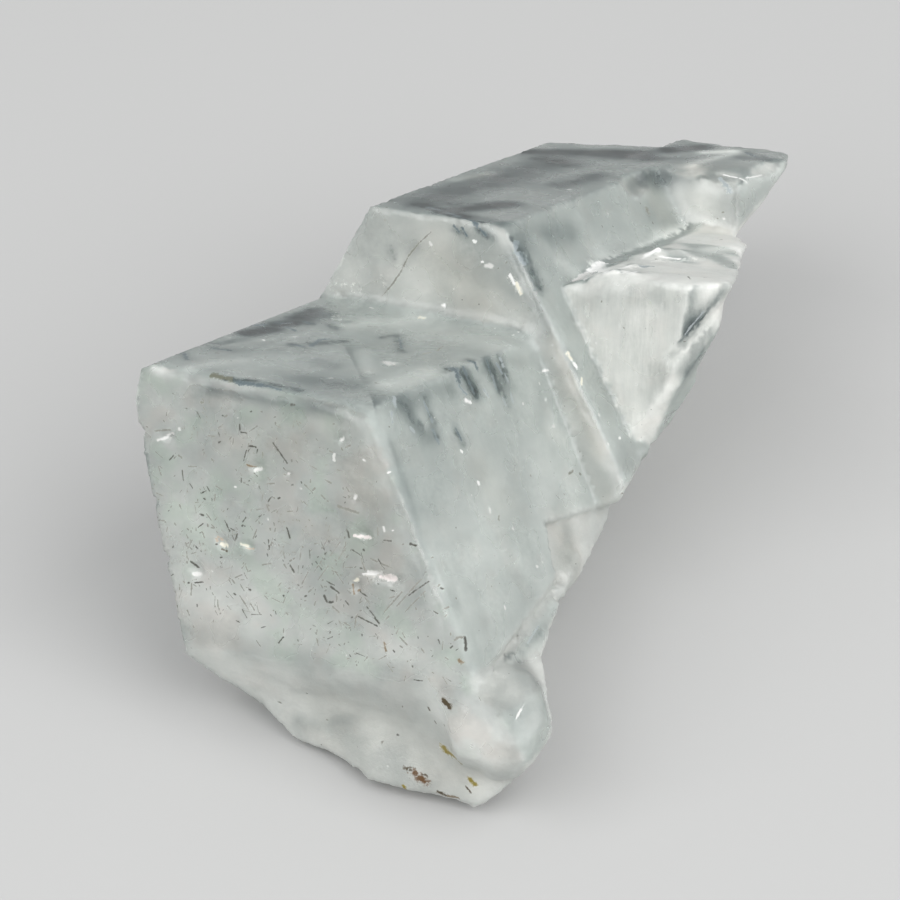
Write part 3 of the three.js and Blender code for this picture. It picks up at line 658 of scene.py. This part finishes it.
def fractal(places, name, drift=0.0):
    """One of NOISES at those places: smooth, about -1 to 1."""
    stretch, size, octaves, seed = NOISES[name]
    shift = Vector(way * seed for way in SEED_SHIFT)
    points = (Vector(p) / size + shift for p in places * np.array(stretch) + drift)
    return np.array([noise.fractal(p, NOISE_FADE, NOISE_FINER, octaves) for p in points])


def from_segment(places, start, end):
    """Distance of each place from a straight line between two places."""
    run = end - start
    share = np.clip((places - start) @ run / max(run @ run, TINY), 0, 1)
    return np.linalg.norm(places - start - share[:, None] * run, axis=1)


def seen_at(x, y):
    """What the camera sees of the CAD surface at a pixel: place in mm, normal, and mm for a pixel there."""
    focal = LENS_MM / SENSOR_MM * PICTURE
    way = CAMERA_TURN @ Vector(((x - PICTURE / 2) / focal, (PICTURE / 2 - y) / focal, -1))
    place, normal, _, distance = CAD_TREE.ray_cast(CAMERA_PLACE, way.normalized())
    if place is None:
        return None
    return to_crystal(np.array(place)), np.array(normal) @ TURN, distance / MM / focal


def strokes(surface, marks, add=False):
    """Soft strokes on the surface: the strongest at each vertex, or all of them added up."""
    amount = np.zeros(len(surface.places))
    for x0, y0, x1, y1, radius, strength in marks:
        start, end = seen_at(x0, y0), seen_at(x1, y1)
        if start is None or end is None:
            continue
        reach = radius * start[2]
        distance = from_segment(surface.places, start[0], end[0])
        facing = smoothstep(surface.cad_normals @ start[1], *STROKE_FACING)
        bell = strength * facing * np.exp(-(distance / reach) ** 2)
        amount = amount + bell if add else np.maximum(amount, bell)
    return amount


def zones(surface):
    """How much of each kind of surface every vertex has, and which crystal face it is on."""
    x, y, z = surface.places.T
    nx, ny, nz = surface.cad_normals.T
    basal = nz > ALONG_AXIS
    prism = np.abs(nz) < ACROSS_AXIS
    broken = ~(basal | prism)
    above_shell = y > SHELL_TOP_Y + SHELL_TOP_SLOPE * x + PITS_ABOVE_SHELL
    pits = broken & (z > PITS_Z) & above_shell & (nz > FACES_PIT)
    top = prism & (ny > FACES_TOP)
    in_third = (z < THIRD_FRONT_Z) & (z > THIRD_BACK_Z) & (x > THIRD_LEFT_X)
    in_ledge = (z < LEDGE_FRONT_Z) & (y < LEDGE_TOP_Y) & (x > LEDGE_LEFT_X)
    zone = {
        "basal": basal | pits,
        "top": top,
        "right": prism & (nx > FACES_RIGHT),
        "left": prism & (nx < FACES_LEFT),
        "broken": broken & ~pits,
        "front": (basal & (z > FRONT_Z)) | pits,
        "second": basal & (np.abs(z - SECOND_TERMINAL_Z) < TERMINAL_SLACK),
        "third": in_third & (nz > FACES_THIRD),
        "ledge": in_ledge & (ny > FACES_LEDGE) & broken,
        "first_top": top & (np.abs(y) < FIRST_TOP_SLACK),
        "second_top": top & (y > SECOND_TOP_Y),
    }
    return {name: surface.blurred(mask.astype(float), ZONE_BLUR.get(name, 1)) for name, mask in zone.items()}


def prism_share(zone):
    """How much of each vertex is on a prism face."""
    return np.clip(zone["top"] + zone["right"] + zone["left"], 0, 1)


def tone_of(surface, zone):
    """How light the milky body is, painted light and shade included: 0 is the middle grey, -1 clear and
    dark, 1 white.
    """
    p = surface.places
    tone = sum(amount * zone[name] for name, amount in ZONE_TONES.items())
    clouds = CLOUDS_TONE * fractal(p, "clouds")
    wisps = WISPS_TONE * fractal(p, "wisps", drift=WISPS_DRIFT * clouds[:, None])
    hidden = smoothstep(-surface.cad_normals @ TO_CAMERA, *HIDDEN_FACING)
    veils = VEILS_TONE + VEILS_VARY * fractal(p, "veils")
    # the strokes add the body's clouds and also painted light and shade
    tone = tone + clouds + wisps + hidden * veils + strokes(surface, CLOUDS_AND_PAINTED_LIGHT, add=True)
    return np.clip(tone, -1, 1)


def wear_surface(surface, zone, crease, near_edge):
    """Rounds the stone where it is thin, worn or broken, and swells its lobes."""
    strength, rounds = THIN_SMOOTHING
    thin = np.clip(THIN_GAIN * surface.blurred(smoothstep(crease, *THIN_CREASE), THIN_BLUR), 0, 1)
    surface.smooth(strength * thin, rounds)
    strength, rounds = EDGE_SMOOTHING
    wear = 0.5 + 0.5 * fractal(surface.places, "wear")
    surface.smooth(strength * near_edge * np.clip(LEAST_WEAR + wear, 0, 1), rounds)
    strength, rounds = BROKEN_SMOOTHING
    surface.smooth(strength * zone["broken"], rounds)

    surface.places += strokes(surface, SWELLS)[:, None] * surface.blurred(surface.normals, SWELL_BLUR)
    for x0, y0, x1, y1, reach, rounds in SOFT_EDGES:
        away = from_segment(surface.places, seen_at(x0, y0)[0], seen_at(x1, y1)[0])
        surface.smooth(SOFT_EDGE_STRENGTH * smoothstep(-away, -reach, -SOFT_EDGE_CORE * reach), rounds)


def relief(places, name):
    return RELIEF_MM[name] * fractal(places, name)


def shape_surface(surface, zone):
    """Wears the edges, roughens the broken faces and draws the growth lines of the prism faces."""
    crease = surface.creases()
    near_edge = np.clip(surface.blurred(np.minimum(crease, 1), EDGE_BLUR) * EDGE_GAIN, 0, 1)
    wear_surface(surface, zone, crease, near_edge)

    p = surface.places
    ridges = RELIEF_MM["ridges"] * (RIDGE_LEVEL - np.abs(fractal(p, "ridges")))
    rough = relief(p, "rough") + ridges
    lines = relief(p, "fine lines") + relief(p, "broad lines")
    crust = RELIEF_MM["crust"] * strokes(surface, SCARS) * fractal(p, "crust")
    chips = -RELIEF_MM["chips"] * near_edge * smoothstep(fractal(p, "chips"), *CHIPPED)
    growth = zone["basal"] * relief(p, "growth")
    height = zone["broken"] * rough + prism_share(zone) * lines + growth + crust + chips
    keep = smoothstep(to_model(p)[:, 2] / MM, *KEPT_FLAT_MM)
    surface.places = p + (height * keep)[:, None] * surface.normals
    surface.update_normals()


def random_needles(surface):
    """Needles and specks: for each its two ends in mm, its normal, its half width in mm and its kind."""
    random = np.random.default_rng(RANDOM_SEED)
    needles = []
    for x, y, width, height, count in NEEDLE_FIELDS_MM:
        for _ in range(count):
            middle = np.array((x + width * random.random(), y + height * random.random(), 0.0))
            turn = random.uniform(0, math.tau)
            half = NEEDLE_HALF_MM + NEEDLE_MORE_MM * random.random() ** NEEDLE_BIAS
            way = np.array((math.cos(turn), math.sin(turn), 0)) * half
            thick = NEEDLE_THICK_MM + NEEDLE_THICKER_MM * random.random()
            kind = "grey" if random.random() < NEEDLES_GREY else "dark"
            needles.append((middle - way, middle + way, np.array((0, 0, 1.0)), thick, kind))
    for index in random.choice(len(surface.places), SPECKS, replace=False):
        place, normal = surface.places[index], surface.cad_normals[index]
        size = SPECK_MM + SPECK_MORE_MM * random.random() ** 2
        kind = "grey" if random.random() < SPECKS_GREY else "pale"
        end = place + SPECK_STRETCH_MM * random.standard_normal(3)
        needles.append((place, end, normal, size, kind))
    return needles


def all_marks(surface):
    """LINES, placed on the surface, and then the random marks."""
    marks = []
    for x0, y0, x1, y1, half_width, kind in LINES:
        start, end = seen_at(x0, y0), seen_at(x1, y1)
        if start is None or end is None:
            continue
        marks.append((start[0], end[0], start[1], half_width * start[2], kind))
    return marks + random_needles(surface)


def nearest_marks(centres, marks):
    """For each face, the mark that it is nearest to, and how far it is from that mark's edge in mm."""
    nearest = np.full(len(centres), np.inf)
    chosen = np.full(len(centres), -1)
    for index, (start, end, _, thick, _) in enumerate(marks):
        close = np.flatnonzero(np.max(np.abs(centres - (start + end) / 2), axis=1) < MARK_SEARCH_MM)
        distance = from_segment(centres[close], start, end) - thick
        better = distance < nearest[close]
        nearest[close[better]] = distance[better]
        chosen[close[better]] = index
    return chosen, nearest


def sharp_marks(surface):
    """Each corner's place beside the mark nearest to its face, and that mark's kind for each face.

    The place is along the mark and across it from its middle, then half the mark's length, in half widths.
    """
    marks = all_marks(surface)
    chosen, nearest = nearest_marks(surface.places[surface.faces].mean(axis=1), marks)
    beside = np.full((len(surface.faces), 4, 3), NO_MARK)
    kinds = np.zeros(len(surface.faces))
    for index, (start, end, normal, thick, kind) in enumerate(marks):
        own = np.flatnonzero((chosen == index) & (nearest < MARK_REACH_MM))
        half = np.linalg.norm(end - start) / 2
        run = (end - start) / max(2 * half, TINY)
        side = np.cross(normal, run)
        offset = surface.places[surface.faces[own]] - (start + end) / 2
        halves = np.full(offset.shape[:2], half)
        beside[own] = np.stack([offset @ run, offset @ side, halves], axis=-1) / thick
        kinds[own] = list(MARK_COLOURS).index(kind) / len(MARK_COLOURS)
    return beside.reshape(-1, 3), kinds


# ---- material

class Nodes:
    """Short ways to make and join shader nodes."""

    def __init__(self, material):
        self.tree = material.node_tree

    def new(self, kind, inputs=(), **settings):
        node = self.tree.nodes.new("ShaderNode" + kind)
        for name, value in settings.items():
            setattr(node, name, value)
        for key, value in dict(inputs).items():
            self.feed(node.inputs[key], value)
        return node

    def feed(self, socket, value):
        if isinstance(value, bpy.types.NodeSocket):
            self.tree.links.new(value, socket)
        elif isinstance(value, bpy.types.Node):
            self.tree.links.new(value.outputs[0], socket)
        else:
            socket.default_value = value

    def math(self, operation, *values, clamp=False):
        return self.new("Math", dict(enumerate(values)), operation=operation, use_clamp=clamp).outputs[0]

    def step(self, value, low, high, start=0.0, end=1.0, interpolation="SMOOTHSTEP"):
        inputs = {"Value": value, "From Min": low, "From Max": high, "To Min": start, "To Max": end}
        return self.new("MapRange", inputs, interpolation_type=interpolation).outputs[0]

    def swing(self, pattern, amount):
        """A pattern about 0.5 as a swing about 0."""
        return self.math("MULTIPLY", self.math("SUBTRACT", pattern, 0.5), amount)

    def attribute(self, name, output="Fac"):
        return self.new("Attribute", attribute_name=name).outputs[output]

    def mapped(self, vector, scale):
        return self.new("Mapping", {"Vector": vector, "Scale": scale}).outputs[0]

    def noise(self, vector, scale, detail, roughness=0.7):
        inputs = {"Vector": vector, "Scale": scale, "Detail": detail, "Roughness": roughness}
        return self.new("TexNoise", inputs).outputs["Fac"]

    def set_ramp(self, node, stops, interpolation):
        ramp = node.color_ramp
        ramp.interpolation = interpolation
        while len(ramp.elements) < len(stops):
            ramp.elements.new(1.0)
        for element, (position, colour) in zip(ramp.elements, stops):
            element.position = max(position, 0)
            element.color = (*colour, 1)

    def mix(self, factor, first, second, blend="MIX"):
        node = self.tree.nodes.new("ShaderNodeMix")
        node.data_type = "RGBA"
        node.blend_type = blend
        for socket, value in zip((node.inputs[0], node.inputs[6], node.inputs[7]), (factor, first, second)):
            if isinstance(value, tuple) and len(value) == 3:
                value = (*value, 1)
            self.feed(socket, value)
        return node.outputs[2]


def veil(n, crystal):
    """Where the front crystal's top is clear and painted darker, as shade of dark surroundings seen through
    it: on the left of a straight edge.
    """
    (x0, _, z0), (x1, _, z1) = (seen_at(*pixel)[0] for pixel in (VEIL_EDGE[:2], VEIL_EDGE[2:]))
    length = math.hypot(x1 - x0, z1 - z0)
    across, along = (z1 - z0) / length, (x0 - x1) / length
    axes = n.new("SeparateXYZ", {"Vector": crystal}).outputs
    side_x = n.math("MULTIPLY", n.math("SUBTRACT", axes[0], float(x0)), across)
    side_z = n.math("MULTIPLY", n.math("SUBTRACT", axes[2], float(z0)), along)
    left = n.step(n.math("ADD", side_x, side_z), VEIL_SOFT_MM, -VEIL_SOFT_MM)
    return n.math("MULTIPLY", left, n.attribute("veil"))


def clouded_tone(n, crystal):
    """The painted tone with clouds and streaks in it and clear places painted dark as shade seen through
    them, how scarred the stone is, and its mottle.
    """
    tone = n.attribute("tone")
    streaks = n.attribute("streaks")
    mottle = n.noise(crystal, 3.6, 4)
    fibres = n.noise(n.mapped(crystal, (2.8, 0.4, 1.0)), 1.3, 3)
    fibrous = n.math("MULTIPLY", n.attribute("third"), FIBRES_TONE)
    for pattern, amount in ((streaks, STREAKS_TONE), (mottle, MOTTLE_TONE), (fibres, fibrous)):
        tone = n.math("ADD", tone, n.swing(pattern, amount))

    # clear places, painted dark as shade of dark surroundings seen through them
    window_painted_dark = n.attribute("window_painted_dark")
    torn = n.math("ADD", window_painted_dark, n.swing(streaks, WINDOW_TORN))
    torn = n.math("ADD", torn, n.swing(mottle, WINDOW_MOTTLED))
    opened = n.math("MULTIPLY", n.step(torn, 0.1, 0.95), n.step(window_painted_dark, 0.02, 0.3))
    tone = n.math("SUBTRACT", tone, n.math("MULTIPLY", opened, WINDOW_OPEN))
    tone = n.math("SUBTRACT", tone, n.math("MULTIPLY", window_painted_dark, WINDOW_TONE))

    scar = n.attribute("scar")
    torn = n.math("ADD", scar, n.swing(mottle, SCAR_TORN))
    scarred = n.math("MULTIPLY", n.step(torn, 0.4, 0.8), n.step(scar, 0.03, 0.3))
    return n.math("ADD", tone, n.math("MULTIPLY", scarred, SCAR_TONE)), scarred, mottle


def body_colour(n, tone):
    """Milky colour for a tone, now greener, now pinker in the front terminal, bluer on prism faces."""
    ramp = n.new("ValToRGB", {"Fac": n.step(tone, -1.0, 1.0, interpolation="LINEAR")})
    n.set_ramp(ramp, BODY_RAMP, "B_SPLINE")
    colour = ramp.outputs["Color"]
    front = n.attribute("front")
    hues = n.attribute("hue")
    green = n.math("MULTIPLY", front, n.step(hues, 0.50, 0.68))
    pink = n.math("MULTIPLY", n.math("ADD", front, PINK_ELSEWHERE, clamp=True), n.step(hues, 0.50, 0.34))
    colour = n.mix(n.math("MULTIPLY", green, GREEN), colour, GREEN_TINT, "MULTIPLY")
    colour = n.mix(n.math("MULTIPLY", pink, PINK), colour, PINK_TINT, "MULTIPLY")
    colour = n.mix(n.math("MULTIPLY", n.attribute("prism"), BLUE), colour, BLUE_TINT, "MULTIPLY")
    return n.mix(n.attribute("warm"), colour, WARM_TINT, "MULTIPLY")


def mark_cover(n, mottle):
    """How much a sharp mark covers, and its colour."""
    beside = n.new("SeparateXYZ", {"Vector": n.attribute("beside", "Vector")}).outputs
    past = n.math("MAXIMUM", n.math("SUBTRACT", n.math("ABSOLUTE", beside[0]), beside[2]), 0.0)
    away = n.math("SQRT", n.math("ADD", n.math("POWER", past, 2.0), n.math("POWER", beside[1], 2.0)))
    away = n.math("ADD", away, n.swing(mottle, MARK_RAGGED))
    ramp = n.new("ValToRGB", {"Fac": n.attribute("kind")})
    shares = [(index - 0.5) / len(MARK_COLOURS) for index in range(len(MARK_COLOURS))]
    n.set_ramp(ramp, list(zip(shares, MARK_COLOURS.values())), "CONSTANT")
    return n.step(away, *MARK_FADE), ramp.outputs["Color"]


def crystal_places(n):
    """The place in the crystals' frame, in mm."""
    place = n.new("TexCoord").outputs["Object"]
    inputs = {"Vector": place, "Location": CORNER, "Rotation": LYING.to_euler(), "Scale": (MM, MM, MM)}
    return n.new("Mapping", inputs, vector_type="TEXTURE").outputs[0]


def fine_relief(n, crystal, broken, scarred):
    """Grain, drawn out along the c axis, strongest on the broken faces and the scars."""
    grain = n.noise(n.mapped(crystal, (1.4, 1.4, 0.7)), 4.5, 2)
    rougher = n.math("MULTIPLY", n.math("ADD", broken, scarred), GRAIN_BROKEN)
    height = n.math("MULTIPLY", grain, n.math("ADD", rougher, GRAIN_LEAST))
    inputs = {"Height": height, "Strength": GRAIN_STRENGTH, "Distance": GRAIN_HEIGHT_MM * MM}
    return n.new("Bump", inputs)


def transmission(n, tone, broken, mark):
    """Most where the stone is clear, less on broken faces and under marks."""
    clear = n.step(tone, -0.9, 0.9, *TRANSMISSION)
    clear = n.math("SUBTRACT", clear, n.math("MULTIPLY", broken, BROKEN_DULLS))
    return n.math("SUBTRACT", clear, n.math("MULTIPLY", mark, MARK_DULLS), clamp=True)


def surface_roughness(n, broken, scarred):
    polish = n.step(n.attribute("polish"), 0.2, 0.8, *POLISH)
    roughness = n.math("ADD", polish, n.math("MULTIPLY", broken, BROKEN_ROUGHER))
    roughness = n.math("ADD", roughness, n.math("MULTIPLY", n.attribute("matt"), MATT_ROUGHER))
    return n.math("ADD", roughness, n.math("MULTIPLY", scarred, SCAR_ROUGHER), clamp=True)


def aquamarine():
    """Milky beryl: colour and see-through parts by tone, its marks, grain and faint blue-green depth."""
    material = bpy.data.materials.new("aquamarine")
    material.use_nodes = True
    n = Nodes(material)
    sockets = material.node_tree.nodes["Principled BSDF"].inputs

    crystal = crystal_places(n)
    tone, scarred, mottle = clouded_tone(n, crystal)
    # the clear side of the front crystal's top, painted darker as shade of dark surroundings seen through it
    tone = n.math("SUBTRACT", tone, n.math("MULTIPLY", veil(n, crystal), VEIL_TONE))
    mark, mark_colour = mark_cover(n, mottle)
    broken = n.attribute("broken")
    n.feed(sockets["Base Color"], n.mix(mark, body_colour(n, tone), mark_colour))
    n.feed(sockets["Transmission Weight"], transmission(n, tone, broken, mark))
    n.feed(sockets["Roughness"], surface_roughness(n, broken, scarred))
    n.feed(sockets["Subsurface Weight"], n.step(mark, 0.0, 1.0, MILKINESS, 0.0))
    n.feed(sockets["Normal"], fine_relief(n, crystal, broken, scarred))
    sockets["IOR"].default_value = BERYL_IOR
    sockets["Subsurface Radius"].default_value = MILK_RADIUS
    sockets["Subsurface Scale"].default_value = MILK_SCALE_MM * MM

    tint = n.new("VolumeAbsorption", ABSORPTION)
    n.feed(material.node_tree.nodes["Material Output"].inputs["Volume"], tint)
    return material


def painted(surface, zone):
    """What the shader reads at each vertex, by name."""
    strokes_of = {"window_painted_dark": WINDOWS_PAINTED_DARK, "scar": SCARS, "veil": VEIL, "matt": MATT, "warm": WARM}
    swings = {"streaks": 0.25, "hue": 0.3, "polish": 0.5}
    return {
        "tone": tone_of(surface, zone),
        **{name: strokes(surface, marks) for name, marks in strokes_of.items()},
        **{name: 0.5 + swing * fractal(surface.places, name) for name, swing in swings.items()},
        "prism": prism_share(zone),
        **{name: zone[name] for name in ("broken", "front", "third")},
    }


def crystal_surface():
    """The dressed crystal: an even mesh over the CAD solid, shaped, painted and marked."""
    surface = Surface(*largest_piece(*separate_sheets(even_mesh(cad))))
    zone = zones(surface)
    shape_surface(surface, zone)
    paint = painted(surface, zone)
    beside, kinds = sharp_marks(surface)

    mesh = bpy.data.meshes.new("crystal_surface")
    mesh.from_pydata(to_model(surface.places).tolist(), [], surface.faces.tolist())
    for name, values in paint.items():
        mesh.attributes.new(name, "FLOAT", "POINT").data.foreach_set("value", values.astype(np.float32))
    mesh.attributes.new("kind", "FLOAT", "FACE").data.foreach_set("value", kinds.astype(np.float32))
    corners = mesh.attributes.new("beside", "FLOAT_VECTOR", "CORNER").data
    corners.foreach_set("vector", beside.astype(np.float32).ravel())
    mesh.shade_smooth()
    mesh.materials.append(aquamarine())
    ob = bpy.data.objects.new("crystal_surface", mesh)
    bpy.context.scene.collection.objects.link(ob)
    return ob


studio()
crystal = crystal_surface()
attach(crystal, "root")
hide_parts(NODE)
